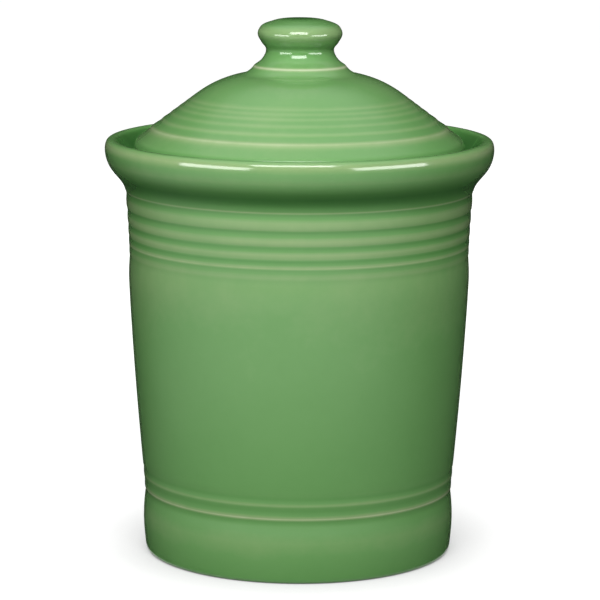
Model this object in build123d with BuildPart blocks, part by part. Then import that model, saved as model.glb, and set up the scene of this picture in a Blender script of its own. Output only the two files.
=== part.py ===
from build123d import *
from math import cos, radians, sin
import os

os.makedirs("parts", exist_ok=True)

# A lidded kitchen canister of glazed stoneware, standing on its foot ring.
# Millimetres, +Z up, origin in the middle of the foot ring on the table.

# Jar, overall
jar_height = 191.2           # table to the crest of the rim
belly_diameter = 156.2       # widest place of the plain wall
waist_diameter = 144.2       # plain wall where it starts above the foot steps
wall_tuck = 0.25             # how far the wall draws in again just under the rings
wall_thickness = 6.0
floor_thickness = 8.0        # table to the inside floor
floor_corner_radius = 12.0   # round between the inside floor and the wall
inner_toe_inset = 1.4        # taper of the inside wall below the waist

# Foot band and the steps over it
foot_band_height = 27.8
foot_band_swell = 0.95       # band's middle, out from the groove over it
foot_toe_inset = 0.05        # band's lower edge, in from the groove over it
foot_toe_radius = 1.6        # round at the table
foot_ring_width = 6.5        # unglazed ring that stands on the table
foot_recess = 2.6            # underside inside the ring, up from the table
foot_step_count = 2
foot_step_pitch = 5.5
foot_step_rise = 0.42        # growth in radius from one step's edge to the next
foot_step_groove = 0.45      # depth of the groove under each edge

# Rings below the rim, the tallest at the top
ring_count = 5
ring_pitch = 8.0             # height of the top ring
ring_step = 0.68             # growth in radius over the top ring
ring_groove = 0.7            # depth of the groove under the top edge
ring_swell = 0.16            # convexity of the top ring's face

# Cove, rolled rim and lip
cove_height = 7.97
cove_reach = 5.25
cove_start_angle = 12.0      # degrees from upright, over the top ring
roll_radius = 15.8
roll_angle = 41.0            # degrees from upright, where the cove meets the roll
lip_height = 4.5             # widest place of the rim to its crest
lip_crest_inset = 3.9        # crest, in from the widest place
lip_inner_inset = 2.0        # inner edge of the lip, in from the crest
lip_inner_drop = 1.6         # inner edge of the lip, down from the crest

# Seat for the lid inside the rim
neck_wall = 7.5              # wall between the throat and the groove under the cove
seat_depth = 11.6            # crest of the rim to the seat
seat_bearing = 3.3           # how far the lid's edge overlaps the seat
seat_edge_radius = 0.8
gallery_gap = 1.6            # round the lid's edge, at the seat
throat_height = 49.0         # straight part of the bore below the seat

# Lid
lid_wall = 5.5
lid_edge_ease = 0.8          # round under the edge
lid_edge_height = 7.65       # straight part of the edge, up from the seat
lid_shoulder_radius = 5.3    # round from the edge into the dome
dome_flank_angle = 36.95     # degrees from level
dome_crown_radius = 49.3
lid_ring_count = 6
lid_ring_margin = 7.85       # shoulder to the outermost ring, along the flank
lid_ring_pitch = 5.9         # outermost ring to the next, along the flank
lid_ring_lift = 0.3          # outermost ring's edge, over the flank
lid_ring_depth = 0.1         # groove outside the outermost ring, under the flank
lid_crown_margin = 2.68      # innermost ring to the crown, along the flank

# Knob
knob_foot_diameter = 41.7    # at the ridge round the knob's foot
knob_foot_height = 4.3       # dome up to the ridge
knob_foot_spread = 6.25      # ridge out to where the foot runs into the dome
knob_neck_diameter = 30.9
knob_neck_height = 7.15      # ridge to the narrowest place
knob_head_diameter = 38.6
knob_head_height = 7.2       # narrowest place to the widest place
knob_cap_height = 6.9        # widest place to the top
knob_wall = 7.2              # round the hollow that is open from below
knob_cap_wall = 8.5          # over the hollow

# Skirt under the lid and the seal in its groove
skirt_gap = 3.2              # skirt to throat, filled by the seal's lips
skirt_thickness = 4.6
skirt_depth = 14.0
seal_groove_depth = 1.2
seal_groove_height = 8.0
seal_groove_drop = 2.2       # seat to the top of the groove
seal_fit = 0.05              # room between the seal and its groove
seal_thickness = 1.9
seal_lip_count = 2
seal_lip_root = 1.3          # thickness of a lip where it leaves the seal
seal_lip_tip = 0.7
seal_lip_lift = 0.9          # how far a lip's tip sweeps up
lip_clearance = 0.3          # lip to throat

# Shares chosen by hand
wall_height_shares = (0.31, 0.66, 0.8, 0.925)   # up the plain wall
wall_reach_shares = (0.42, 0.81, 0.935, 1.0)    # of the way from waist to belly
foot_widest_share = 0.58                        # up the foot band
foot_riser_share = 0.35                         # of a foot step's pitch
ring_pitch_share = 0.85                         # each ring of the one over it
ring_step_share = 0.7                           # each ring's growth of the one over it
ring_groove_share = 0.75                        # each groove of the one over it
ring_riser_share = 0.2                          # of a ring's pitch
lip_side_shares = (0.87, 0.63)                  # of the lip's inset and height, under its corner
lip_top_shares = (0.37, 0.978)                  # the same, over its corner
gallery_shares = (0.55, 0.236)                  # of the gallery's reach and height
lid_ring_pitch_share = 0.86                     # each ring of the one outside it
lid_ring_lift_share = 0.72                      # each ring of the one outside it
lid_riser_share = 0.35                          # of a lid ring's pitch
knob_flare_shares = (0.65, 0.385)               # from the foot's ridge to the neck
knob_flare_slope_share = 0.75                   # rise for each run, where it leaves the ridge
knob_jaw_shares = (0.53, 0.44)                  # from the neck to the widest place
knob_cap_shares = (0.647, 0.834)                # of the head's radius and cap's height
knob_turn_shares = (0.94, 0.43)                 # the same, where the cap turns down
hollow_taper_share = 0.8                        # of the hollow's width, at its top


def along(start, angle, length):
    """Point at a length from start, up a slope that leans inwards."""
    return (start[0] - length * cos(radians(angle)), start[1] + length * sin(radians(angle)))


def off(point, angle, height):
    """Point at a height over that slope."""
    return (point[0] + height * sin(radians(angle)), point[1] + height * cos(radians(angle)))


def part_way(start, end, shares):
    """Point at a share of the way across and of the way up."""
    return (start[0] + shares[0] * (end[0] - start[0]), start[1] + shares[1] * (end[1] - start[1]))


# Rings: growth and height are added from the lowest ring upwards
belly_radius = belly_diameter / 2
waist_radius = waist_diameter / 2
ring_scales = [ring_pitch_share**i for i in range(ring_count)]
ring_growths = [ring_step * ring_step_share**i for i in range(ring_count)]
roll_height = roll_radius * sin(radians(roll_angle))
roll_reach = roll_radius * (1 - cos(radians(roll_angle)))
rings_top = jar_height - lip_height - roll_height - cove_height
neck_radius = belly_radius - wall_tuck + sum(ring_growths)

ring_edges, ring_roots = [], []
for i in range(ring_count + 1):
    edge = (neck_radius - sum(ring_growths[:i]), rings_top - ring_pitch * sum(ring_scales[:i]))
    riser = ring_riser_share * ring_pitch * ring_pitch_share**i
    ring_edges.insert(0, edge)
    ring_roots.insert(0, (edge[0] - ring_groove * ring_groove_share**i, edge[1] - riser))

# Foot steps, from the groove over the band up to the plain wall
foot_riser = foot_riser_share * foot_step_pitch
foot_edges = [
    (
        waist_radius - (foot_step_count - i) * foot_step_rise,
        foot_band_height + foot_riser + i * foot_step_pitch,
    )
    for i in range(foot_step_count + 1)
]
foot_roots = [(r - foot_step_groove, z - foot_riser) for r, z in foot_edges]
foot_groove_radius = foot_roots[0][0]
toe_radius = foot_groove_radius - foot_toe_inset
ring_outer_radius = toe_radius - foot_toe_radius
ring_inner_radius = ring_outer_radius - foot_ring_width

# Plain wall, outside and inside
wall_bottom = foot_edges[-1]
wall_top = ring_roots[0]
wall_points = [
    (
        waist_radius + reach * (belly_radius - waist_radius),
        wall_bottom[1] + share * (wall_top[1] - wall_bottom[1]),
    )
    for share, reach in zip(wall_height_shares, wall_reach_shares)
]

# Rim, seat and throat
rim_radius = neck_radius + cove_reach + roll_reach
roll_start = (neck_radius + cove_reach, rings_top + cove_height)
rim_widest = (rim_radius, jar_height - lip_height)
crest = (rim_radius - lip_crest_inset, jar_height)
lip_base = (crest[0], rim_widest[1])
lip_side = part_way(lip_base, (rim_radius, jar_height), lip_side_shares)
lip_top = part_way(lip_base, (rim_radius, jar_height), lip_top_shares)
lip_inner = (crest[0] - lip_inner_inset, jar_height - lip_inner_drop)
throat_radius = neck_radius - neck_wall
seat_height = jar_height - seat_depth
lid_radius = throat_radius + seat_bearing
gallery_root = (lid_radius + gallery_gap, seat_height)
gallery_turn = part_way(gallery_root, lip_inner, gallery_shares)
throat_top = (throat_radius, seat_height - seat_edge_radius)
throat_bottom = (throat_radius, seat_height - throat_height)
inner_toe = (
    waist_radius - wall_thickness - inner_toe_inset,
    floor_thickness + floor_corner_radius,
)
inner_points = [(r - wall_thickness, z) for r, z in wall_points[1::-1]]
inner_points.append((waist_radius - wall_thickness, wall_bottom[1]))

# Jar: one piece with its foot ring, rings, rim and seat
with BuildPart() as canister_body:
    with BuildSketch(Plane.XZ):
        with BuildLine():
            Polyline(
                (0, floor_thickness),
                (0, foot_recess),
                (ring_inner_radius - foot_recess, foot_recess),
                (ring_inner_radius, 0),
                (ring_outer_radius, 0),
            )
            TangentArc((ring_outer_radius, 0), (toe_radius, foot_toe_radius), tangent=(1, 0))
            ThreePointArc(
                (toe_radius, foot_toe_radius),
                (foot_groove_radius + foot_band_swell, foot_widest_share * foot_band_height),
                foot_roots[0],
            )
            for i in range(foot_step_count):
                Polyline(foot_roots[i], foot_edges[i], foot_roots[i + 1])
            Line(foot_roots[-1], wall_bottom)
            Spline(wall_bottom, *wall_points, wall_top)
            for i in range(ring_count):
                Line(ring_roots[i], ring_edges[i])
                SagittaArc(ring_edges[i], ring_roots[i + 1], -ring_swell * ring_scales[-1 - i])
            Line(ring_roots[-1], ring_edges[-1])
            Spline(
                ring_edges[-1],
                roll_start,
                tangents=(
                    (sin(radians(cove_start_angle)), cos(radians(cove_start_angle))),
                    (sin(radians(roll_angle)), cos(radians(roll_angle))),
                ),
            )
            TangentArc(roll_start, rim_widest, tangent=(sin(radians(roll_angle)), cos(radians(roll_angle))))
            side_arc = TangentArc(rim_widest, lip_side, tangent=(0, 1))
            TangentArc(lip_side, lip_top, tangent=side_arc % 1)
            TangentArc(crest, lip_top, tangent=(1, 0))
            TangentArc(crest, lip_inner, tangent=(-1, 0))
            Line(lip_inner, gallery_turn)
            TangentArc(gallery_root, gallery_turn, tangent=(1, 0))
            Line(gallery_root, (throat_radius + seat_edge_radius, seat_height))
            TangentArc(
                (throat_radius + seat_edge_radius, seat_height),
                throat_top,
                tangent=(-1, 0),
            )
            Line(throat_top, throat_bottom)
            Spline(
                throat_bottom,
                *inner_points,
                inner_toe,
                tangents=((0, -1), (-inner_toe_inset, inner_toe[1] - wall_bottom[1])),
            )
            floor_edge = (inner_toe[0] - floor_corner_radius, floor_thickness)
            TangentArc(floor_edge, inner_toe, tangent=(1, 0))
            Line(floor_edge, (0, floor_thickness))
        make_face()
    revolve(axis=Axis.Z)
canister_body.part.label = "canister_body"
export_step(canister_body.part, "parts/canister_body.step")

# Lid outside: edge, shoulder, ringed flank and crown, measured up the flank from the shoulder
edge_top = (lid_radius, seat_height + lid_edge_height)
shoulder_turn = radians(90 - dome_flank_angle)
flank_bottom = (
    lid_radius - lid_shoulder_radius * (1 - cos(shoulder_turn)),
    edge_top[1] + lid_shoulder_radius * sin(shoulder_turn),
)
lid_ring_scales = [lid_ring_pitch_share**i for i in range(lid_ring_count)]
lid_ring_edges, lid_ring_roots = [], []
ring_place = lid_ring_margin
for i, scale in enumerate(lid_ring_scales):
    relief_share = lid_ring_lift_share**i
    root_place = ring_place - lid_riser_share * lid_ring_pitch * scale
    root = along(flank_bottom, dome_flank_angle, root_place)
    edge = along(flank_bottom, dome_flank_angle, ring_place)
    lid_ring_roots.append(off(root, dome_flank_angle, -relief_share * lid_ring_depth))
    lid_ring_edges.append(off(edge, dome_flank_angle, relief_share * lid_ring_lift))
    ring_place += lid_ring_pitch * scale
flank_length = ring_place - lid_ring_pitch * lid_ring_scales[-1] + lid_crown_margin
flank_top = along(flank_bottom, dome_flank_angle, flank_length)
crown_centre = off(flank_top, dome_flank_angle, -dome_crown_radius)


def crown_height(radius, arc_radius):
    """Height of the crown's arc at a distance from the axis."""
    return crown_centre[1] + (arc_radius**2 - (radius - crown_centre[0]) ** 2) ** 0.5


# Knob outside, standing on the crown
foot_root_radius = knob_foot_diameter / 2 + knob_foot_spread
knob_root = (foot_root_radius, crown_height(foot_root_radius, dome_crown_radius))
knob_edge = (knob_foot_diameter / 2, knob_root[1] + knob_foot_height)
foot_way = (crown_centre[1] - knob_root[1], knob_root[0] - crown_centre[0])
knob_neck = (knob_neck_diameter / 2, knob_edge[1] + knob_neck_height)
knob_widest = (knob_head_diameter / 2, knob_neck[1] + knob_head_height)
knob_top = (0, knob_widest[1] + knob_cap_height)
cap_base = (0, knob_widest[1])
cap_corner = (knob_widest[0], knob_top[1])
crown_middle = (flank_top[0] + knob_root[0]) / 2

# Lid inside: the dome's wall is even, and a hollow runs up into the knob
skirt_radius = throat_radius - skirt_gap
skirt_inner_radius = skirt_radius - skirt_thickness
skirt_bottom = seat_height - skirt_depth
skirt_round = skirt_thickness / 2
groove_radius = skirt_radius - seal_groove_depth
groove_top = seat_height - seal_groove_drop
groove_bottom = groove_top - seal_groove_height
inner_flank_top = off(flank_top, dome_flank_angle, -lid_wall)
inner_flank_run = (skirt_inner_radius - inner_flank_top[0]) / cos(radians(dome_flank_angle))
inner_flank_bottom = along(inner_flank_top, dome_flank_angle, -inner_flank_run)
inner_crown_radius = dome_crown_radius - lid_wall
hollow_radius = knob_neck[0] - knob_wall
hollow_mouth = (hollow_radius, crown_centre[1] + inner_crown_radius)
hollow_top_radius = hollow_taper_share * hollow_radius
hollow_shoulder = (hollow_top_radius, knob_top[1] - knob_cap_wall - hollow_top_radius)
inner_crown_middle = (inner_flank_top[0] + crown_centre[0]) / 2

# Lid: one piece with its knob and skirt
with BuildPart() as lid:
    with BuildSketch(Plane.XZ):
        with BuildLine():
            Polyline(
                (lid_radius - lid_edge_ease, seat_height),
                (skirt_radius, seat_height),
                (skirt_radius, groove_top),
                (groove_radius, groove_top),
                (groove_radius, groove_bottom),
                (skirt_radius, groove_bottom),
                (skirt_radius, skirt_bottom + skirt_round),
            )
            ThreePointArc(
                (skirt_radius, skirt_bottom + skirt_round),
                (skirt_radius - skirt_round, skirt_bottom),
                (skirt_inner_radius, skirt_bottom + skirt_round),
            )
            Polyline(
                (skirt_inner_radius, skirt_bottom + skirt_round),
                inner_flank_bottom,
                inner_flank_top,
            )
            ThreePointArc(
                inner_flank_top,
                (inner_crown_middle, crown_height(inner_crown_middle, inner_crown_radius)),
                (crown_centre[0], hollow_mouth[1]),
            )
            Polyline((crown_centre[0], hollow_mouth[1]), hollow_mouth, hollow_shoulder)
            TangentArc((0, knob_top[1] - knob_cap_wall), hollow_shoulder, tangent=(1, 0))
            Line((0, knob_top[1] - knob_cap_wall), knob_top)
            Spline(
                knob_top,
                part_way(cap_base, cap_corner, knob_cap_shares),
                part_way(cap_base, cap_corner, knob_turn_shares),
                knob_widest,
                tangents=((1, 0), (0, -1)),
            )
            Spline(
                knob_widest,
                part_way(knob_neck, knob_widest, knob_jaw_shares),
                knob_neck,
                tangents=((0, -1), (0, -1)),
            )
            Spline(
                knob_neck,
                part_way(knob_edge, knob_neck, knob_flare_shares),
                knob_edge,
                tangents=((0, -1), (1, -knob_flare_slope_share)),
            )
            TangentArc(knob_root, knob_edge, tangent=foot_way)
            ThreePointArc(
                knob_root,
                (crown_middle, crown_height(crown_middle, dome_crown_radius)),
                flank_top,
            )
            Line(flank_top, lid_ring_edges[-1])
            for i in range(lid_ring_count - 1, 0, -1):
                Polyline(lid_ring_edges[i], lid_ring_roots[i], lid_ring_edges[i - 1])
            Polyline(lid_ring_edges[0], lid_ring_roots[0], flank_bottom)
            TangentArc(edge_top, flank_bottom, tangent=(0, 1))
            Line(edge_top, (lid_radius, seat_height + lid_edge_ease))
            TangentArc(
                (lid_radius - lid_edge_ease, seat_height),
                (lid_radius, seat_height + lid_edge_ease),
                tangent=(1, 0),
            )
        make_face()
    revolve(axis=Axis.Z)
lid.part.label = "lid"
export_step(lid.part, "parts/lid.step")

# Seal: a moulded ring in the skirt's groove, with lips that wipe the throat
seal_inner_radius = groove_radius + seal_fit
seal_outer_radius = seal_inner_radius + seal_thickness
lip_tip_radius = throat_radius - lip_clearance
seal_bottom = groove_bottom + seal_fit
seal_top = groove_top - seal_fit
lip_pitch = (seal_top - seal_bottom) / seal_lip_count
seal_points = [(seal_inner_radius, seal_bottom), (seal_outer_radius, seal_bottom)]
for i in range(seal_lip_count):
    lip_bottom = seal_bottom + (i + 0.5) * lip_pitch - seal_lip_root / 2 - seal_lip_lift / 2
    seal_points += [
        (seal_outer_radius, lip_bottom),
        (lip_tip_radius, lip_bottom + seal_lip_lift),
        (lip_tip_radius, lip_bottom + seal_lip_lift + seal_lip_tip),
        (seal_outer_radius, lip_bottom + seal_lip_root),
    ]
seal_points += [(seal_outer_radius, seal_top), (seal_inner_radius, seal_top)]

with BuildPart() as lid_gasket:
    with BuildSketch(Plane.XZ):
        with BuildLine():
            Polyline(*seal_points, close=True)
        make_face()
    revolve(axis=Axis.Z)
lid_gasket.part.label = "lid_gasket"
export_step(lid_gasket.part, "parts/lid_gasket.step")

print("rim diameter", round(2 * rim_radius, 2), "overall height", round(knob_top[1], 2))
print("lid diameter", round(2 * lid_radius, 2), "seat height", round(seat_height, 2))
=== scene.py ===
import bpy
import math
import numpy as np
from mathutils import Matrix, Vector


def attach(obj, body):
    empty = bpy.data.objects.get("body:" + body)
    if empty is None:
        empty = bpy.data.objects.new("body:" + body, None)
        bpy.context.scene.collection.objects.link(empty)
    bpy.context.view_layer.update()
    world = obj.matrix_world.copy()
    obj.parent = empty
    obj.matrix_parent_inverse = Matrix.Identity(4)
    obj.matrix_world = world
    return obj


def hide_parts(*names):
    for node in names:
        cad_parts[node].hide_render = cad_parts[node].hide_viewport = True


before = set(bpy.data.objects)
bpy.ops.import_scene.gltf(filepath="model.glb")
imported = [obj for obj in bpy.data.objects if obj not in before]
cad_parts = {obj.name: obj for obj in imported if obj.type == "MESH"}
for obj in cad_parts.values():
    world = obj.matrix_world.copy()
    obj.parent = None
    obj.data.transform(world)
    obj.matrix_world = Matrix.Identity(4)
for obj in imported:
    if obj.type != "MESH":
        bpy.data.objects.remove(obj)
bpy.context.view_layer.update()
mm = 0.001
tiny = 1e-6  # a length or a bend too small to count
print("frame loaded:", ", ".join(sorted(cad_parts)))


# Outlines are rows of (radius, height) in millimetres

def smoothRun(points, startWay=None, endWay=None, steps=24):
    # a cubic between each two points; its slope at a point is the mean of the two chords there,
    # the shorter one weighing more
    p = np.asarray(points, float)
    gap = np.diff(p, axis=0)
    chord = np.linalg.norm(gap, axis=1)[:, None]
    way = gap / chord
    slope = np.empty_like(p)
    slope[1:-1] = (way[:-1] * chord[1:] + way[1:] * chord[:-1]) / (chord[:-1] + chord[1:])
    slope[0] = way[0] if startWay is None else np.array(startWay) / np.linalg.norm(startWay)
    slope[-1] = way[-1] if endWay is None else np.array(endWay) / np.linalg.norm(endWay)
    t = np.linspace(0, 1, steps)[None, :, None]
    a, b = p[:-1, None], p[1:, None]
    slopeA, slopeB = (slope[:-1] * chord)[:, None], (slope[1:] * chord)[:, None]
    leaving = (2*t**3 - 3*t**2 + 1) * a + (t**3 - 2*t**2 + t) * slopeA
    arriving = (3*t**2 - 2*t**3) * b + (t**3 - t**2) * slopeB
    return (leaving + arriving).reshape(-1, 2)


def arc(start, end, way, steps=24):
    # circular arc that leaves start along way and ends at end:
    # a chord from start grows as the sine of its turn
    chord = np.subtract(end, start)
    lean = math.atan2(chord[1], chord[0]) - math.atan2(way[1], way[0])
    lean = (lean + math.pi) % (2 * math.pi) - math.pi
    turn = np.linspace(0, 1, steps) * lean
    reach = np.linalg.norm(chord) * np.sin(turn) / math.sin(lean)
    heading = math.atan2(way[1], way[0]) + turn
    return np.asarray(start) + np.c_[reach * np.cos(heading), reach * np.sin(heading)]


def leaning(degrees):
    # unit direction at an angle from upright, leaning outwards
    return (math.sin(math.radians(degrees)), math.cos(math.radians(degrees)))


def between(a, b, shares):
    # the point these shares of the way from a to b, outwards and upwards
    return (a[0] + shares[0] * (b[0] - a[0]), a[1] + shares[1] * (b[1] - a[1]))


def evenSteps(line, step):
    # the same line with a point at every step of its length
    line = line[np.r_[True, np.linalg.norm(np.diff(line, axis=0), axis=1) > tiny]]
    along = np.r_[0, np.cumsum(np.linalg.norm(np.diff(line, axis=0), axis=1))]
    place = np.linspace(0, along[-1], int(along[-1] / step) + 1)
    return np.c_[np.interp(place, along, line[:, 0]), np.interp(place, along, line[:, 1])]


def blurred(values, sigma, ends):
    # bell-weighted mean along a line, over four sigmas each way; past its ends the line goes on
    # as its mirror image, times ends, or round the loop
    half = int(4 * sigma) + 1
    bell = np.exp(-0.5 * (np.arange(-half, half + 1) / sigma) ** 2)
    if ends == "loop":
        padded = np.r_[values[-half:], values, values[:half]]
    else:
        padded = np.r_[ends * values[half:0:-1], values, ends * values[-2:-half - 2:-1]]
    return np.convolve(padded, bell / bell.sum(), "valid")


firing = {
    "step": 0.06,  # mm between the raw points
    "ease": 2.5,   # mm from a bend within which the points draw closer
}


def firedOutline(line, d, loop=False):
    # the outline as the fired glaze leaves it: its corners are blurred by rounding, and from point to point
    # it turns by about bend radians, where that puts them from finest to coarsest mm apart
    step = firing["step"]
    raw = evenSteps(line, step)
    across, along = ("loop", "loop") if loop else (-1, 1)  # past the axis only the radius changes sign
    sigma = d["rounding"] / step
    soft = np.c_[blurred(raw[:, 0], sigma, across), blurred(raw[:, 1], sigma, along)]
    way = np.gradient(soft, axis=0)
    turn = np.abs(np.gradient(np.unwrap(np.arctan2(way[:, 1], way[:, 0])))) / step
    busy = blurred(turn, firing["ease"] / step, along)
    spacing = np.clip(d["bend"] / np.maximum(busy, tiny), d["finest"], d["coarsest"])
    count = np.cumsum(step / spacing)
    wanted = np.linspace(count[0], count[-1], int(count[-1]))
    nearest = np.round(np.interp(wanted, count, np.arange(len(count))))
    return soft[np.unique(nearest.astype(int))]


def wiped(outline, level, near, inner, outer):
    # 1 where the glaze is wiped off: within near of a level, between two radii
    r, z = outline.T
    return ((np.abs(z - level) < near) & (r > inner) & (r < outer)).astype(int)


def turned(name, outline, body, node, materials, bare=None, depth=None, loop=False, around=192):
    # the outline carried round the axis: x = r cos a, y = r sin a. An open outline starts and ends on
    # the axis, in one point each; a loop closes on itself. bare gives each row's material, depth its glaze
    # depth, which in some places is raised as painted shade
    angle = np.linspace(0, 2 * np.pi, around, endpoint=False)
    rows = outline if loop else outline[1:-1]
    r, z = rows[:, :1], rows[:, 1:]
    points = np.stack([r * np.cos(angle), r * np.sin(angle), np.repeat(z, around, 1)], -1).reshape(-1, 3)
    here = np.arange(around)
    beside = np.roll(here, -1)
    low = np.arange(len(rows) if loop else len(rows) - 1)[:, None] * around
    high = (low + around) % len(points)
    faces = np.stack([low + here, low + beside, high + beside, high + here], -1).reshape(-1, 4).tolist()
    index = np.zeros(len(faces), int) if bare is None else np.repeat(bare[1:-2], around)
    if not loop:
        last, pole = (len(rows) - 1) * around, len(points)
        points = np.r_[points, [[0, 0, outline[0, 1]], [0, 0, outline[-1, 1]]]]
        faces += np.stack([np.full(around, pole), beside, here], -1).tolist()
        faces += np.stack([last + here, last + beside, np.full(around, pole + 1)], -1).tolist()
        index = np.r_[index, np.zeros(2 * around, int)]
    mesh = bpy.data.meshes.new(name)
    mesh.from_pydata((points * mm).tolist(), [], faces)
    mesh.polygons.foreach_set("material_index", index.astype(np.int32))
    mesh.polygons.foreach_set("use_smooth", np.ones(len(faces), bool))
    if depth is not None:
        values = np.r_[np.repeat(depth[1:-1], around), depth[0], depth[-1]].astype(np.float32)
        mesh.attributes.new("glazeDepthAndShade", "FLOAT", "POINT").data.foreach_set("value", values)
    mesh.update()
    piece = bpy.data.objects.new(name, mesh)
    bpy.context.scene.collection.objects.link(piece)
    for material in materials:
        mesh.materials.append(material)
    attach(piece, body)
    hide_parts(node)
    print(name, len(outline), "points in the outline,", len(faces), "faces")
    return piece


def linear(hexColour):
    # sRGB hex to linear red, green, blue, 1
    c = np.array([int(hexColour[i:i + 2], 16) for i in (1, 3, 5)]) / 255
    return (*np.where(c <= 0.04045, c / 12.92, ((c + 0.055) / 1.055) ** 2.4), 1)


def add(tree, kind, settings, links=None):
    # a node with its properties and socket values set, and its inputs linked
    node = tree.nodes.new(kind)
    for name, value in settings.items():
        if isinstance(name, int) or name in node.inputs:
            node.inputs[name].default_value = value
        else:
            setattr(node, name, value)
    for name, source in (links or {}).items():
        tree.links.new(source, node.inputs[name])
    return node


def newMaterial(name):
    # an empty node material
    material = bpy.data.materials.new(name)
    material.use_nodes = True
    material.node_tree.nodes.clear()
    return material, material.node_tree


glazeLook = {
    # the deep and deepest colours are reached mostly where painted shade raises the depth: the cove, the
    # gallery and the knob's top
    "depths": (0.0, 0.2, 0.5, 1.0, 1.4, 2.0),  # body showing through, thin, plain, pooled, deep, deepest
    "colours": ("#B4C59C", "#8EAB75", "#6C9E5D", "#5B924E", "#487F40", "#2F5C29"),
    "noise": {"run": (30, 1.0), "mottle": (5, 3.0), "peel": (4, 1.0), "pinhole": (0.8, 0.0)},  # mm, detail
    "runDepth": 0.16, "mottleDepth": 0.08,  # the most that they add to the depth
    "peelBump": (0.015, 0.05), "pinholeBump": (0.01, 0.02),  # strength, mm
    "roughness": (0.1, 0.14), "ior": 1.5,
}


def meadowGlaze(look):
    # glossy green glaze on buff stoneware, dipped and fired: a coloured glass that draws thin and pale over
    # edges, pools deep in grooves, and keeps a faint wave and pinholes in its surface. The depth it reads
    # also carries painted shade, which darkens it towards the deep colours where shade falls
    material, tree = newMaterial("meadowGreenGlaze")
    place = add(tree, "ShaderNodeTexCoord", {}).outputs["Object"]
    depth = add(tree, "ShaderNodeAttribute", {"attribute_name": "glazeDepthAndShade"}).outputs["Fac"]
    noise = {}
    for name, (size, detail) in look["noise"].items():
        grain = {"Scale": 1 / (size * mm), "Detail": detail}
        noise[name] = add(tree, "ShaderNodeTexNoise", grain, {"Vector": place}).outputs["Fac"]
    for name in ("run", "mottle"):
        more = {"operation": "MULTIPLY_ADD", 1: look[name + "Depth"]}
        depth = add(tree, "ShaderNodeMath", more, {0: noise[name], 2: depth}).outputs[0]
    middle = (look["runDepth"] + look["mottleDepth"]) / 2  # noise is one half on average
    deepest = look["depths"][-1]
    span = {"From Min": middle, "From Max": middle + deepest}
    share = add(tree, "ShaderNodeMapRange", span, {"Value": depth}).outputs["Result"]
    ramp = add(tree, "ShaderNodeValToRGB", {}, {"Fac": share})
    stops = ramp.color_ramp.elements
    while len(stops) < len(look["colours"]):
        stops.new(0.5)
    for stop, at, colour in zip(stops, look["depths"], look["colours"]):
        stop.position = at / deepest
        stop.color = linear(colour)
    smooth, dull = look["roughness"]
    gloss = add(tree, "ShaderNodeMapRange", {"To Min": smooth, "To Max": dull}, {"Value": noise["mottle"]})
    strength, height = look["peelBump"]
    wave = add(tree, "ShaderNodeBump", {"Strength": strength, "Distance": height * mm},
               {"Height": noise["peel"]})
    strength, height = look["pinholeBump"]
    pitted = add(tree, "ShaderNodeBump", {"Strength": strength, "Distance": height * mm},
                 {"Height": noise["pinhole"], "Normal": wave.outputs["Normal"]})
    shader = add(tree, "ShaderNodeBsdfPrincipled", {"IOR": look["ior"]}, {
        "Base Color": ramp.outputs["Color"], "Roughness": gloss.outputs["Result"],
        "Normal": pitted.outputs["Normal"],
    })
    add(tree, "ShaderNodeOutputMaterial", {}, {"Surface": shader.outputs["BSDF"]})
    return material


def glazeDepthAndShade(outline, plain, places):
    # plain depth, and at each place (radius, height, change, spread before, spread after) a bell
    # of the change along the outline
    places = np.asarray(places, float)
    along = np.r_[0, np.cumsum(np.linalg.norm(np.diff(outline, axis=0), axis=1))]
    nearest = np.linalg.norm(outline[:, None] - places[None, :, :2], axis=2).argmin(0)
    past = along[:, None] - along[nearest]
    spread = np.where(past < 0, places[:, 3], places[:, 4])
    change = (places[:, 2] * np.exp(-0.5 * (past / spread) ** 2)).sum(1)
    return np.clip(plain + change, glazeLook["depths"][0], glazeLook["depths"][-1])


clayLook = {
    "colour": "#C9B591", "toasted": "#A88F6A", "toast": (0.15, 0.4),  # where toast starts and is full
    "grogMm": 0.9, "cloudMm": 12, "detail": 2.0, "grogBump": (0.4, 0.08),  # strength, mm
    "roughness": 0.85, "ior": 1.5,
}


def bareStoneware(look):
    # buff stoneware wiped bare of glaze before firing: dry and matt, with grog specks and a slight toast
    material, tree = newMaterial("bareBuffStoneware")
    place = add(tree, "ShaderNodeTexCoord", {}).outputs["Object"]
    grain = {"Scale": 1 / (look["grogMm"] * mm), "Detail": look["detail"]}
    grog = add(tree, "ShaderNodeTexNoise", grain, {"Vector": place}).outputs["Fac"]
    drift = {"Scale": 1 / (look["cloudMm"] * mm), "Detail": look["detail"]}
    cloud = add(tree, "ShaderNodeTexNoise", drift, {"Vector": place}).outputs["Fac"]
    both = add(tree, "ShaderNodeMath", {"operation": "MULTIPLY"}, {0: grog, 1: cloud}).outputs[0]
    start, full = look["toast"]
    span = {"From Min": start, "From Max": full}
    toast = add(tree, "ShaderNodeMapRange", span, {"Value": both}).outputs["Result"]
    tones = {"data_type": "RGBA", 6: linear(look["colour"]), 7: linear(look["toasted"])}
    colour = add(tree, "ShaderNodeMix", tones, {0: toast}).outputs[2]
    strength, height = look["grogBump"]
    rough = add(tree, "ShaderNodeBump", {"Strength": strength, "Distance": height * mm}, {"Height": grog})
    shader = add(tree, "ShaderNodeBsdfPrincipled", {"Roughness": look["roughness"], "IOR": look["ior"]},
                 {"Base Color": colour, "Normal": rough.outputs["Normal"]})
    add(tree, "ShaderNodeOutputMaterial", {}, {"Surface": shader.outputs["BSDF"]})
    return material


siliconeLook = {
    "colour": "#DAD9D0", "dusty": "#C9C8BE", "dustMm": 3, "detail": 4.0,
    "roughness": (0.35, 0.5), "ior": 1.41,
}


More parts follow.
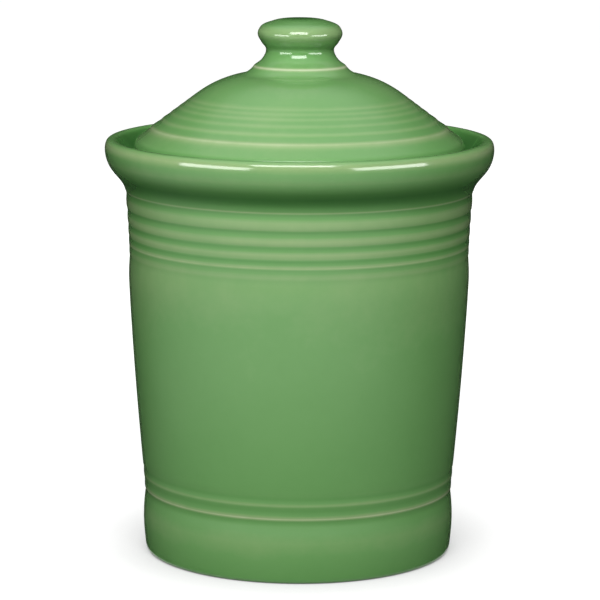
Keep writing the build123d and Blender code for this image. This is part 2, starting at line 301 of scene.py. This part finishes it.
def sealSilicone(look):
    # moulded milky silicone: satin, a little dusty
    material, tree = newMaterial("milkySilicone")
    place = add(tree, "ShaderNodeTexCoord", {}).outputs["Object"]
    grain = {"Scale": 1 / (look["dustMm"] * mm), "Detail": look["detail"]}
    dust = add(tree, "ShaderNodeTexNoise", grain, {"Vector": place}).outputs["Fac"]
    tones = {"data_type": "RGBA", 6: linear(look["colour"]), 7: linear(look["dusty"])}
    colour = add(tree, "ShaderNodeMix", tones, {0: dust}).outputs[2]
    smooth, dull = look["roughness"]
    satin = add(tree, "ShaderNodeMapRange", {"To Min": smooth, "To Max": dull}, {"Value": dust})
    shader = add(tree, "ShaderNodeBsdfPrincipled", {"IOR": look["ior"]},
                 {"Base Color": colour, "Roughness": satin.outputs["Result"]})
    add(tree, "ShaderNodeOutputMaterial", {}, {"Surface": shader.outputs["BSDF"]})
    return material


glaze = meadowGlaze(glazeLook)
clay = bareStoneware(clayLook)
silicone = sealSilicone(siliconeLook)
print("materials made:", glaze.name, clay.name, silicone.name)


jar = {  # millimetres and degrees, apart from the shares, the ways, the counts and bend, in radians
    "height": 191.2, "belly": 78.1, "waist": 72.1, "tuck": 0.25, "wall": 6.0,
    "wallUpShares": (0.31, 0.66, 0.8, 0.925), "wallOutShares": (0.42, 0.81, 0.935, 1.0),
    "floor": 8.0, "floorRound": 12.0, "innerTaper": 1.4,
    "band": 27.8, "bandSwell": 0.95, "bandWidestShare": 0.58, "bandWays": ((0.1, 1), (-0.14, 1)),
    "toeInset": 0.05, "toeRound": 1.6, "ringWidth": 6.5, "recess": 2.6,
    "footSteps": 2, "footPitch": 5.5, "footRise": 0.42, "footGroove": 0.45, "footRiserShare": 0.35,
    # the top ring, and each lower ring's shares of the one above
    "rings": 5, "ringPitch": 8.0, "ringStep": 0.68, "ringGroove": 0.7, "ringSwell": 0.16,
    "ringRiserShare": 0.2, "pitchShare": 0.85, "stepShare": 0.7, "grooveShare": 0.75,
    "coveHeight": 7.97, "coveReach": 5.22, "coveLean": 12, "rollRadius": 15.8, "rollLean": 41,
    "lipHeight": 4.5, "lipInset": 3.9, "lipSideShares": (0.87, 0.63), "lipTopShares": (0.37, 0.978),
    "lipInner": (2.0, 1.6), "galleryShares": (0.55, 0.236), "galleryGap": 1.6,
    "neckWall": 7.5, "seatDepth": 11.6, "seatBearing": 3.3, "seatRound": 0.8, "throat": 49.0,
    "rounding": 0.4, "finest": 0.4, "coarsest": 4.0, "bend": 0.11,
    "bareFoot": (0.12, 0.6), "bareSeat": (0.35, 0.4, 0.3),  # height, then reach or margins, of bare clay
}


def jarOutline(d):
    # from the middle of the underside, out over the foot ring, up the outside, over the rim and down
    # the inside to the middle of the floor

    # the rings, worked out from the top one down by their shares, then listed from the lowest up
    i = np.arange(d["rings"] + 1)
    scale = d["pitchShare"] ** i
    growth = d["ringStep"] * d["stepShare"] ** i
    neck = d["belly"] - d["tuck"] + growth[:-1].sum()
    rollUp = d["rollRadius"] * math.sin(math.radians(d["rollLean"]))
    rollOut = d["rollRadius"] * (1 - math.cos(math.radians(d["rollLean"])))
    ringsTop = d["height"] - d["lipHeight"] - rollUp - d["coveHeight"]
    edgeR = neck - np.r_[0, np.cumsum(growth[:-1])]
    edges = np.c_[edgeR, ringsTop - d["ringPitch"] * np.r_[0, np.cumsum(scale[:-1])]]
    grooves = d["ringGroove"] * d["grooveShare"] ** i
    roots = edges - np.c_[grooves, d["ringRiserShare"] * d["ringPitch"] * scale]
    edges, roots, scale = edges[::-1], roots[::-1], scale[::-1]
    middles = (edges[:-1] + roots[1:]) / 2 + np.c_[d["ringSwell"] * scale[1:], 0 * scale[1:]]
    rings = np.stack([roots[:-1], edges[:-1], middles], 1).reshape(-1, 2)

    # the steps over the foot band, the band, and the ring that the jar stands on
    steps = np.arange(d["footSteps"] + 1)
    riser = d["footRiserShare"] * d["footPitch"]
    stepR = d["waist"] - (d["footSteps"] - steps) * d["footRise"]
    footEdges = np.c_[stepR, d["band"] + riser + steps * d["footPitch"]]
    footRoots = footEdges - [d["footGroove"], riser]
    grooveR = footRoots[0, 0]
    bandR = grooveR + d["bandSwell"]
    bandWidest = (bandR, d["bandWidestShare"] * d["band"])
    toe = grooveR - d["toeInset"]
    ringOut = toe - d["toeRound"]
    ringIn = ringOut - d["ringWidth"]

    # the plain wall
    wallLow, wallHigh = footEdges[-1], roots[0]
    wallR = d["waist"] + np.array(d["wallOutShares"]) * (d["belly"] - d["waist"])
    wall = np.c_[wallR, wallLow[1] + np.array(d["wallUpShares"]) * (wallHigh[1] - wallLow[1])]

    # the rolled rim
    rimR = neck + d["coveReach"] + rollOut
    coveStart, rollStart = (neck, ringsTop), (neck + d["coveReach"], ringsTop + d["coveHeight"])
    rimWide, crest = (rimR, d["height"] - d["lipHeight"]), (rimR - d["lipInset"], d["height"])
    lipFrom, lipTo = (crest[0], rimWide[1]), (rimR, d["height"])
    lipSide = between(lipFrom, lipTo, d["lipSideShares"])
    lipTop = between(lipFrom, lipTo, d["lipTopShares"])
    sideTurn = 2 * math.atan2(rimR - lipSide[0], lipSide[1] - rimWide[1])
    lipInner = (crest[0] - d["lipInner"][0], d["height"] - d["lipInner"][1])

    # the seat inside the rim, the throat and the inside
    throatR, seat = neck - d["neckWall"], d["height"] - d["seatDepth"]
    root = (throatR + d["seatBearing"] + d["galleryGap"], seat)
    gallery = between(root, lipInner, d["galleryShares"])
    innerToe = (d["waist"] - d["wall"] - d["innerTaper"], d["floor"] + d["floorRound"])
    floorEdge = (innerToe[0] - d["floorRound"], d["floor"])
    inside = [
        (throatR, seat - d["throat"]), *(wall[1::-1] - [d["wall"], 0]),
        (d["waist"] - d["wall"], wallLow[1]), innerToe,
    ]

    line = np.vstack([
        [(0, d["recess"]), (ringIn - d["recess"], d["recess"]), (ringIn, 0)],
        arc((ringOut, 0), (toe, d["toeRound"]), (1, 0)),
        smoothRun([(toe, d["toeRound"]), bandWidest, footRoots[0]], *d["bandWays"]),
        np.stack([footRoots, footEdges], 1).reshape(-1, 2),
        smoothRun([wallLow, *wall, wallHigh]),
        rings, roots[-1:], edges[-1:],
        smoothRun([edges[-1], rollStart], leaning(d["coveLean"]), leaning(d["rollLean"])),
        arc(rollStart, rimWide, leaning(d["rollLean"])),
        arc(rimWide, lipSide, (0, 1)),
        arc(lipSide, lipTop, (-math.sin(sideTurn), math.cos(sideTurn))),
        arc(crest, lipTop, (1, 0))[::-1],
        arc(crest, lipInner, (-1, 0)),
        arc(root, gallery, (1, 0))[::-1],
        arc((throatR + d["seatRound"], seat), (throatR, seat - d["seatRound"]), (-1, 0)),
        smoothRun(inside, (0, -1), None),
        arc(floorEdge, innerToe, (1, 0))[::-1],
        [(0, d["floor"])],
    ])
    marks = {
        "edges": edges, "roots": roots, "pitch": d["ringPitch"] * scale[1:], "wallTop": roots[0],
        "topEdge": edges[-1], "topPool": roots[-1], "footEdges": footEdges, "footRoots": footRoots,
        "bandFrom": (bandR, 0), "bandTo": (bandR, d["band"]), "coveFrom": coveStart, "coveTo": rollStart,
        "rim": rimWide, "lipSide": lipSide, "inner": lipInner, "gallery": gallery,
        "ringIn": ringIn, "throat": throatR, "seat": seat, "root": root,
    }
    return line, marks


jarGlazeAndShade = {  # changes of depth with their spreads before and after in mm
    "plain": 0.5, "runDown": 0.13, "runFrom": 1.6, "gather": 0.3, "gatherMm": 3,  # runFrom in belly radii
    # the rings from the lowest up, in shares of their pitch
    "ringPale": (-0.08, -0.25, -0.25, -0.25, -0.27),
    "ringPaleUp": (0.33, 0.31, 0.43, 0.42, 0.62), "ringPaleWide": (0.17, 0.19, 0.2, 0.215, 0.28),
    "ringPool": (0.05, 0.34, 0.62, 0.52, 0.46), "ringPoolWide": (0.16, 0.06),
    # their edges and the rest in mm
    "ringEdge": (0, -0.04, -0.05, -0.05, -0.14), "ringEdgeWide": (0.3, 0.5),
    "footPale": (-0.56, -0.32, -0.08), "footPaleWide": (0.45, 0.9), "footPool": (0.14, 1.0, 0.6),
    "topEdge": (-0.62, 0.6, 0.5), "topEdgeDrop": 0.4, "topPool": (0.4, 1.2, 0.4),
    "band": (-0.2, 7.0, 4.0), "bandShares": (0, 0.72), "wallTop": (-0.09, 18.0, 6.0),
    # the cove: glaze pooled in the hollow, deepened further as painted shade
    "cove": (0.85, 5.0, 3.4), "coveShares": (0.35, 0.8),
    "roll": (-0.1, 2.2, 2.2), "rollShares": (0.05, 0.31), "rim": (0.1, 3.0, 2.5),
    "crest": (-0.37, 1.75, 1.5), "crestShares": (0.8, 0.8),
    # painted shade: deeper glaze inside the rim and in the gallery
    "inner": (0.5, 1.2, 3.0), "gallery": (1.1, 4.0, 4.0),
}


def jarPlaces(g, m, d):
    # thin over each ring a share of the way up it, over edges, the foot band, the top of the wall, the roll
    # and the crest; pooled in the grooves and in the cove, and deeper at the rim's widest line. Painted
    # shade deepens it further in the cove, and inside the rim and in the gallery
    pitch, roots, edges = m["pitch"], m["roots"], m["edges"]
    ones = np.ones((len(m["footEdges"]), 1))
    paleWide = np.array(g["ringPaleWide"]) * pitch
    face = edges[:-1] + np.c_[0 * pitch, np.array(g["ringPaleUp"]) * pitch - (edges - roots)[:-1, 1]]
    single = {
        "topEdge": m["topEdge"] - [0, g["topEdgeDrop"]], "topPool": m["topPool"],
        "band": between(m["bandFrom"], m["bandTo"], g["bandShares"]),
        "cove": between(m["coveFrom"], m["coveTo"], g["coveShares"]),
        "rim": m["rim"], "wallTop": m["wallTop"],
        "crest": between(m["rim"], m["lipSide"], g["crestShares"]),
        "roll": m["rim"] - np.array(g["rollShares"]) * d["rollRadius"],
        "inner": m["inner"], "gallery": m["gallery"],
    }
    return np.vstack([
        np.c_[face, g["ringPale"], paleWide, paleWide],
        np.c_[edges[:-1], g["ringEdge"], np.outer(0 * pitch + 1, g["ringEdgeWide"])],
        np.c_[roots[:-1], g["ringPool"], np.outer(pitch, g["ringPoolWide"])],
        np.c_[m["footEdges"], g["footPale"], ones * g["footPaleWide"]],
        np.c_[m["footRoots"], ones * g["footPool"]],
        [(*place, *g[name]) for name, place in single.items()],
    ])


def jarPlain(g, d, height):
    # plain depth, a little more the lower the wall, and gathered by a falling exponential at the very foot
    run = np.clip(1 - height / (g["runFrom"] * d["belly"]), 0, 1)
    return g["plain"] + g["runDown"] * run + g["gather"] * np.exp(-height / g["gatherMm"])


line, marks = jarOutline(jar)
outline = firedOutline(line, jar)
depth = glazeDepthAndShade(outline, jarPlain(jarGlazeAndShade, jar, outline[:, 1]), jarPlaces(jarGlazeAndShade, marks, jar))
near, reach = jar["bareFoot"]
onFoot = wiped(outline, 0, near, marks["ringIn"] - reach, jar["belly"])
near, inMargin, outMargin = jar["bareSeat"]
bearingR = marks["root"][0] - jar["galleryGap"]
onSeat = wiped(outline, marks["seat"], near, marks["throat"] + inMargin, bearingR - outMargin)
jarPiece = turned("glazedJar", outline, "jar", "canister_body", [glaze, clay], onFoot | onSeat, depth)


lid = {  # millimetres and degrees, apart from the shares, the slope, the count and bend, in radians
    "radius": 75.535, "seat": 179.6, "wall": 5.5, "ease": 0.8, "edge": 7.65, "shoulder": 5.3,
    "flankTilt": 36.95, "crown": 49.3, "crownMargin": 2.68,
    "rings": 6, "margin": 7.85, "pitch": 5.9, "lift": 0.3, "depth": 0.1, "riserShare": 0.35,
    "pitchShare": 0.86, "liftShare": 0.72,  # of the ring outside it
    "footR": 20.85, "footUp": 4.3, "footOut": 6.25, "neckR": 15.45, "neckUp": 7.15,
    "headR": 19.3, "headUp": 7.2, "capUp": 6.88, "flareShares": (0.65, 0.385), "flareSlope": 0.75,
    "jawShares": (0.53, 0.44), "turnShares": (0.94, 0.43), "capShares": (0.647, 0.834),
    "knobWall": 7.2, "capWall": 8.5, "taperShare": 0.8,
    "throat": 72.236, "skirtGap": 3.2, "skirt": 4.6, "skirtDown": 14.0,
    "groove": 1.2, "grooveUp": 8.0, "grooveDrop": 2.2,
    "rounding": 0.3, "finest": 0.3, "coarsest": 4.0, "bend": 0.05,
    "bareEdge": (0.35, 0.3, 0.5),  # height and margins of the bare clay
}


def lidOutline(d):
    # from the top of the knob's hollow, down the inside of the dome, round the skirt and its groove,
    # out under the edge, up over the dome's rings and the knob to its top
    tilt = math.radians(d["flankTilt"])
    up, out = np.array([-math.cos(tilt), math.sin(tilt)]), np.array([math.sin(tilt), math.cos(tilt)])
    shoulderFoot = d["seat"] + d["edge"]

    def onShoulder(turn):
        # the point on the shoulder's round after a turn from upright
        r = d["radius"] - d["shoulder"] * (1 - math.cos(turn))
        return np.array([r, shoulderFoot + d["shoulder"] * math.sin(turn)])

    # the dome: a straight flank with rings, and a crown that is part of a ball
    fullTurn = math.pi / 2 - tilt
    flankLow = onShoulder(fullTurn)
    i = np.arange(d["rings"])
    pitch = d["pitch"] * d["pitchShare"] ** i
    place = d["margin"] + np.r_[0, np.cumsum(pitch[:-1])]
    share = (d["liftShare"] ** i)[:, None]
    edges = flankLow + place[:, None] * up + share * d["lift"] * out
    roots = flankLow + (place - d["riserShare"] * pitch)[:, None] * up - share * d["depth"] * out
    flankTop = flankLow + (place[-1] + d["crownMargin"]) * up
    centre = flankTop - d["crown"] * out

    def onCrown(r, radius):
        # the point at r on a ball round the crown's centre
        return (r, centre[1] + math.sqrt(radius**2 - (r - centre[0])**2))

    # the knob
    knobRoot = onCrown(d["footR"] + d["footOut"], d["crown"])
    knobEdge = (d["footR"], knobRoot[1] + d["footUp"])
    neck = (d["neckR"], knobEdge[1] + d["neckUp"])
    head = (d["headR"], neck[1] + d["headUp"])
    top = head[1] + d["capUp"]
    capFrom, capTo = (0, head[1]), (d["headR"], top)
    flarePoint = between(knobEdge, neck, d["flareShares"])
    jawPoint = between(neck, head, d["jawShares"])
    turnPoint = between(capFrom, capTo, d["turnShares"])
    capPoint = between(capFrom, capTo, d["capShares"])
    footWay = (centre[1] - knobRoot[1], knobRoot[0] - centre[0])
    crownMid = (flankTop[0] + knobRoot[0]) / 2

    # the inside and the skirt
    skirtR = d["throat"] - d["skirtGap"]
    skirtIn, skirtLow, skirtRound = skirtR - d["skirt"], d["seat"] - d["skirtDown"], d["skirt"] / 2
    grooveR, grooveTop = skirtR - d["groove"], d["seat"] - d["grooveDrop"]
    grooveLow = grooveTop - d["grooveUp"]
    innerTop = flankTop - d["wall"] * out
    innerLow = innerTop - (skirtIn - innerTop[0]) / math.cos(tilt) * up
    innerCrown = d["crown"] - d["wall"]
    innerMid = (innerTop[0] + centre[0]) / 2
    innerApex = (centre[0], centre[1] + innerCrown)
    hollowR = d["neckR"] - d["knobWall"]
    hollowTopR, hollowTop = d["taperShare"] * hollowR, top - d["capWall"]

    line = np.vstack([
        arc((0, hollowTop), (hollowTopR, hollowTop - hollowTopR), (1, 0)),
        [(hollowR, innerApex[1])],
        smoothRun([innerApex, onCrown(innerMid, innerCrown), innerTop], (1, 0), -up),
        [innerLow],
        arc((skirtIn, skirtLow + skirtRound), (skirtR - skirtRound, skirtLow), (0, -1)),
        arc((skirtR - skirtRound, skirtLow), (skirtR, skirtLow + skirtRound), (1, 0)),
        [(skirtR, grooveLow), (grooveR, grooveLow), (grooveR, grooveTop), (skirtR, grooveTop)],
        [(skirtR, d["seat"])],
        arc((d["radius"] - d["ease"], d["seat"]), (d["radius"], d["seat"] + d["ease"]), (1, 0)),
        arc((d["radius"], shoulderFoot), flankLow, (0, 1)),
        np.stack([roots, edges], 1).reshape(-1, 2),
        smoothRun([flankTop, onCrown(crownMid, d["crown"]), knobRoot], up, footWay),
        arc(knobRoot, knobEdge, footWay),
        smoothRun([knobEdge, flarePoint, neck], (-1, d["flareSlope"]), (0, 1)),
        smoothRun([neck, jawPoint, head], (0, 1), (0, 1)),
        smoothRun([head, turnPoint, capPoint, (0, top)], (0, 1), (-1, 0)),
    ])
    marks = {
        "edges": edges, "roots": roots, "shoulder": onShoulder(fullTurn / 2),
        "knobEdge": knobEdge, "neck": neck, "head": head, "turnPoint": turnPoint, "top": (0, top),
    }
    return line, marks


lidGlazeAndShade = {  # changes of depth with their spreads before and after in mm; the rings from the outer one in
    "plain": 0.49, "ring": (-0.36, -0.17, -0.13, -0.14, -0.14, -0.16), "ringWide": (0.8, 0.8),
    # shoulder: painted shade, darker where the lid meets the rim
    "outerWide": (1.7, 0.7), "ringPool": (0.03, 1.0, 0.6), "shoulder": (0.2, 1.2, 0.5),
    # neck: pooled under the head, partly painted shade
    "ridge": (-0.54, 0.5, 0.6), "ridgeOff": (0.4, -0.35), "neck": (0.12, 2.5, 3.0),
    # top: painted shade, a deeper glaze on the knob's flat top
    "brow": (-0.22, 3.2, 1.8), "browShares": (0.6, 0.6), "top": (0.8, 7.0, 7.0),
}


def lidPlaces(g, m):
    # thin over the rings, the knob's ridge and its brow; pooled a little beside each ring and under the
    # head, where it is partly painted shade. Painted shade deepens it on the shoulder and on the knob's flat
    # top
    one = np.ones(len(m["edges"]))
    wide = np.vstack([g["outerWide"], np.outer(one[1:], g["ringWide"])])
    single = {
        "ridge": np.add(m["knobEdge"], g["ridgeOff"]), "neck": m["neck"],
        "brow": between(m["head"], m["turnPoint"], g["browShares"]),
        "shoulder": m["shoulder"], "top": m["top"],
    }
    return np.vstack([
        np.c_[m["edges"], g["ring"], wide],
        np.c_[m["roots"], np.outer(one, g["ringPool"])],
        [(*place, *g[name]) for name, place in single.items()],
    ])


line, marks = lidOutline(lid)
outline = firedOutline(line, lid)
depth = glazeDepthAndShade(outline, lidGlazeAndShade["plain"], lidPlaces(lidGlazeAndShade, marks))
near, inMargin, outMargin = lid["bareEdge"]
bare = wiped(outline, lid["seat"], near, lid["throat"] + inMargin, lid["radius"] - outMargin)
lidPiece = turned("glazedLid", outline, "lid", "lid", [glaze, clay], bare, depth)


seal = {  # millimetres, apart from the count of lips and bend, in radians
    "inner": 67.886, "thick": 1.9, "low": 169.45, "high": 177.35,
    "lips": 2, "lipRoot": 1.3, "lipTip": 0.7, "lipLift": 0.9, "lipR": 71.936,
    "rounding": 0.16, "finest": 0.2, "coarsest": 1.0, "bend": 0.11,
}


def sealOutline(d):
    # a strap in the skirt's groove with lips that sweep up and out:
    # up the outside, over the top and down the inside
    outer = d["inner"] + d["thick"]
    pitch = (d["high"] - d["low"]) / d["lips"]
    low = d["low"] + (np.arange(d["lips"]) + 0.5) * pitch - d["lipRoot"] / 2 - d["lipLift"] / 2
    far = np.full_like(low, d["lipR"])
    near = np.full_like(low, outer)
    lips = np.stack([
        np.c_[near, low], np.c_[far, low + d["lipLift"]],
        np.c_[far, low + d["lipLift"] + d["lipTip"]], np.c_[near, low + d["lipRoot"]],
    ], 1).reshape(-1, 2)
    start = (outer, d["low"])
    back = [(outer, d["high"]), (d["inner"], d["high"]), (d["inner"], d["low"]), start]
    return np.vstack([[start], lips, back])


outline = firedOutline(sealOutline(seal), seal, loop=True)
sealPiece = turned("lippedSeal", outline, "seal", "lid_gasket", [silicone], loop=True)


stage = {  # metres, and brightness where white is 1
    "floorSize": 40.0, "floorSeen": "#9C9C9C", "floorBounce": "#909090",
    "lift": 0.84, "liftFar": 1.0, "liftFrom": 0.08, "liftFull": 0.6,
    # the painted contact shadow: how much it darkens, its reach in metres and its samples
    "paintedShadow": 0.8, "paintedShadowReach": 0.045, "paintedShadowSamples": 16,
    "card": "#202420", "cardInner": 0.0715, "cardOuter": 19.0, "cardHeight": 0.001, "cardSides": 64,
    "openWay": (-0.26, -0.966, 0), "openAcross": (-0.4, 1.0), "openAway": (0.08, 0.4), "openMost": 0.65,
    "world": "#FFFFFF", "worldStrength": 0.05,
    "aroundGloss": 0.0, "ceilingGloss": 1.0, "ceilingRise": (0.55, 0.95),
    "boxAim": 0.13, "boxAway": 1.2,
}


def paleFloor(s):
    # matt pale sweep that takes the shadow; what the eye and reflections see of it is lifted towards white,
    # more so far off, and less near the ware's foot, where ambient occlusion paints a contact shadow
    material, tree = newMaterial("paleSweep")
    path = add(tree, "ShaderNodeLightPath", {}).outputs
    rays = {0: path["Is Camera Ray"], 1: path["Is Glossy Ray"]}
    seen = add(tree, "ShaderNodeMath", {"operation": "ADD"}, rays).outputs[0]
    rays = {0: seen, 1: path["Is Transmission Ray"]}
    seen = add(tree, "ShaderNodeMath", {"operation": "ADD", "use_clamp": True}, rays).outputs[0]
    place = add(tree, "ShaderNodeTexCoord", {}).outputs["Object"]
    far = add(tree, "ShaderNodeVectorMath", {"operation": "LENGTH"}, {0: place}).outputs["Value"]
    lift = add(tree, "ShaderNodeMapRange", {
        "interpolation_type": "SMOOTHSTEP", "From Min": s["liftFrom"], "From Max": s["liftFull"],
        "To Min": s["lift"], "To Max": s["liftFar"],
    }, {"Value": far}).outputs["Result"]
    # painted contact shadow: ambient occlusion near the foot cuts the lift
    paintedShadowOcclusion = {"Distance": s["paintedShadowReach"], "samples": s["paintedShadowSamples"]}
    openness = add(tree, "ShaderNodeAmbientOcclusion", paintedShadowOcclusion).outputs["AO"]
    shade = {"To Min": 1 - s["paintedShadow"], "To Max": 1.0}
    clear = add(tree, "ShaderNodeMapRange", shade, {"Value": openness}).outputs["Result"]
    lift = add(tree, "ShaderNodeMath", {"operation": "MULTIPLY"}, {0: lift, 1: clear}).outputs[0]
    strength = add(tree, "ShaderNodeMath", {"operation": "MULTIPLY"}, {0: lift, 1: seen}).outputs[0]
    tones = {"data_type": "RGBA", 6: linear(s["floorBounce"]), 7: linear(s["floorSeen"])}
    colour = add(tree, "ShaderNodeMix", tones, {0: seen}).outputs[2]
    matt = add(tree, "ShaderNodeBsdfDiffuse", {}, {"Color": colour}).outputs["BSDF"]
    glow = add(tree, "ShaderNodeEmission", {}, {"Strength": strength}).outputs["Emission"]
    both = add(tree, "ShaderNodeAddShader", {}, {0: matt, 1: glow}).outputs["Shader"]
    add(tree, "ShaderNodeOutputMaterial", {}, {"Surface": both})
    return material


def darkCard(s):
    # near-black card that clears towards openWay, and with the distance from the ware
    material, tree = newMaterial("darkCard")
    place = add(tree, "ShaderNodeTexCoord", {}).outputs["Object"]
    side = add(tree, "ShaderNodeVectorMath", {"operation": "NORMALIZE"}, {0: place}).outputs["Vector"]
    facing = {"operation": "DOT_PRODUCT", 1: s["openWay"]}
    front = add(tree, "ShaderNodeVectorMath", facing, {0: side}).outputs["Value"]
    start, full = s["openAcross"]
    ahead = add(tree, "ShaderNodeMapRange", {
        "interpolation_type": "SMOOTHSTEP", "From Min": start, "From Max": full, "To Max": s["openMost"],
    }, {"Value": front}).outputs["Result"]
    far = add(tree, "ShaderNodeVectorMath", {"operation": "LENGTH"}, {0: place}).outputs["Value"]
    start, full = s["openAway"]
    gap = add(tree, "ShaderNodeMapRange", {
        "interpolation_type": "SMOOTHSTEP", "From Min": start, "From Max": full,
    }, {"Value": far, "To Max": ahead}).outputs["Result"]
    card = add(tree, "ShaderNodeBsdfDiffuse", {"Color": linear(s["card"])}).outputs["BSDF"]
    clear = add(tree, "ShaderNodeBsdfTransparent", {}).outputs["BSDF"]
    fading = add(tree, "ShaderNodeMixShader", {}, {0: gap, 1: card, 2: clear}).outputs["Shader"]
    add(tree, "ShaderNodeOutputMaterial", {}, {"Surface": fading})
    return material


def studioWorld(s):
    # dim all round; the gloss sees darkness at the sides and a pale ceiling
    world = bpy.data.worlds.new("studio")
    world.use_nodes = True
    tree = world.node_tree
    way = add(tree, "ShaderNodeTexCoord", {}).outputs["Generated"]
    rise = add(tree, "ShaderNodeSeparateXYZ", {}, {0: way}).outputs["Z"]
    start, full = s["ceilingRise"]
    ceiling = add(tree, "ShaderNodeMapRange", {
        "interpolation_type": "SMOOTHSTEP", "From Min": start, "From Max": full,
        "To Min": s["aroundGloss"], "To Max": s["ceilingGloss"],
    }, {"Value": rise}).outputs["Result"]
    inGloss = add(tree, "ShaderNodeLightPath", {}).outputs["Is Glossy Ray"]
    dim = {"To Min": s["worldStrength"]}
    glow = add(tree, "ShaderNodeMapRange", dim, {"Value": inGloss, "To Max": ceiling}).outputs["Result"]
    tree.nodes["Background"].inputs["Color"].default_value = linear(s["world"])
    tree.links.new(glow, tree.nodes["Background"].inputs["Strength"])
    return world


def staged(name, points, faces, material):
    # an object of the set, not of the ware
    mesh = bpy.data.meshes.new(name)
    mesh.from_pydata(points, [], faces)
    mesh.materials.append(material)
    thing = bpy.data.objects.new(name, mesh)
    bpy.context.scene.collection.objects.link(thing)
    return thing


half = stage["floorSize"] / 2
corners = [(-half, -half, 0), (half, -half, 0), (half, half, 0), (-half, half, 0)]
floor = staged("floor", corners, [(0, 1, 2, 3)], paleFloor(stage))

# the card is a flat ring from under the ware outwards, seen only in its gloss, so that its sides stay deep
sides = np.arange(stage["cardSides"])
after = np.roll(sides, -1)
angle = np.linspace(0, 2 * np.pi, len(sides), endpoint=False)
ring = np.c_[np.cos(angle), np.sin(angle)]
rings = np.r_[ring * stage["cardInner"], ring * stage["cardOuter"]]
points = np.c_[rings, np.full(len(rings), stage["cardHeight"])]
faces = np.c_[sides, sides + len(sides), after + len(sides), after]
flag = staged("flag", points.tolist(), faces.tolist(), darkCard(stage))
flag.visible_camera = flag.visible_diffuse = flag.visible_shadow = False

bpy.context.scene.world = studioWorld(stage)

softBoxes = {  # degrees round from the front and up, metres, brightness where lit white paper is 1
    "middle": dict(azimuth=-3.5, elevation=44, wide=0.87, high=0.42, bright=13.7, fills=True, shines=True),
    "left": dict(azimuth=-49.5, elevation=13.5, wide=0.93, high=0.34, bright=11.0, fills=False, shines=True),
    "right": dict(azimuth=54, elevation=14, wide=1.0, high=0.34, bright=11.0, fills=False, shines=True),
    "leftFill": dict(azimuth=-55, elevation=20, wide=0.6, high=0.6, bright=2.75, fills=True, shines=False),
    "backFill": dict(azimuth=176, elevation=24, wide=0.8, high=0.6, bright=3.2, fills=True, shines=False),
    "rightFill": dict(azimuth=62, elevation=15, wide=0.6, high=0.6, bright=1.7, fills=True, shines=False),
}
aim = Vector((0, 0, stage["boxAim"]))
for name, b in softBoxes.items():
    az, el = math.radians(b["azimuth"]), math.radians(b["elevation"])
    way = Vector((math.sin(az) * math.cos(el), -math.cos(az) * math.cos(el), math.sin(el)))
    lamp = bpy.data.lights.new(name + "Box", "AREA")
    lamp.shape, lamp.size, lamp.size_y = "RECTANGLE", b["wide"], b["high"]
    lamp.energy = b["bright"] * math.pi * b["wide"] * b["high"]
    box = bpy.data.objects.new(name + "Box", lamp)
    box.location = aim + stage["boxAway"] * way
    box.visible_diffuse, box.visible_glossy = b["fills"], b["shines"]
    box.rotation_euler = way.to_track_quat("Z", "Y").to_euler()
    bpy.context.scene.collection.objects.link(box)
print("stage set:", len(softBoxes), "soft boxes")

shot = {
    "aside": 0.00054, "back": 1.3657, "up": 0.3586,  # metres
    "tilt": 10.075, "roll": 0.277,                   # degrees
    "lens": 180.6, "frame": 36,                      # mm
}
cameraData = bpy.data.cameras.new("camera")
cameraData.lens, cameraData.sensor_width = shot["lens"], shot["frame"]
camera = bpy.data.objects.new("camera", cameraData)
camera.location = (shot["aside"], -shot["back"], shot["up"])
tilted = Matrix.Rotation(math.radians(90 - shot["tilt"]), 4, "X")
camera.rotation_euler = (tilted @ Matrix.Rotation(math.radians(shot["roll"]), 4, "Z")).to_euler()
bpy.context.scene.collection.objects.link(camera)
bpy.context.scene.camera = camera
bpy.context.scene.view_settings.view_transform = "Standard"
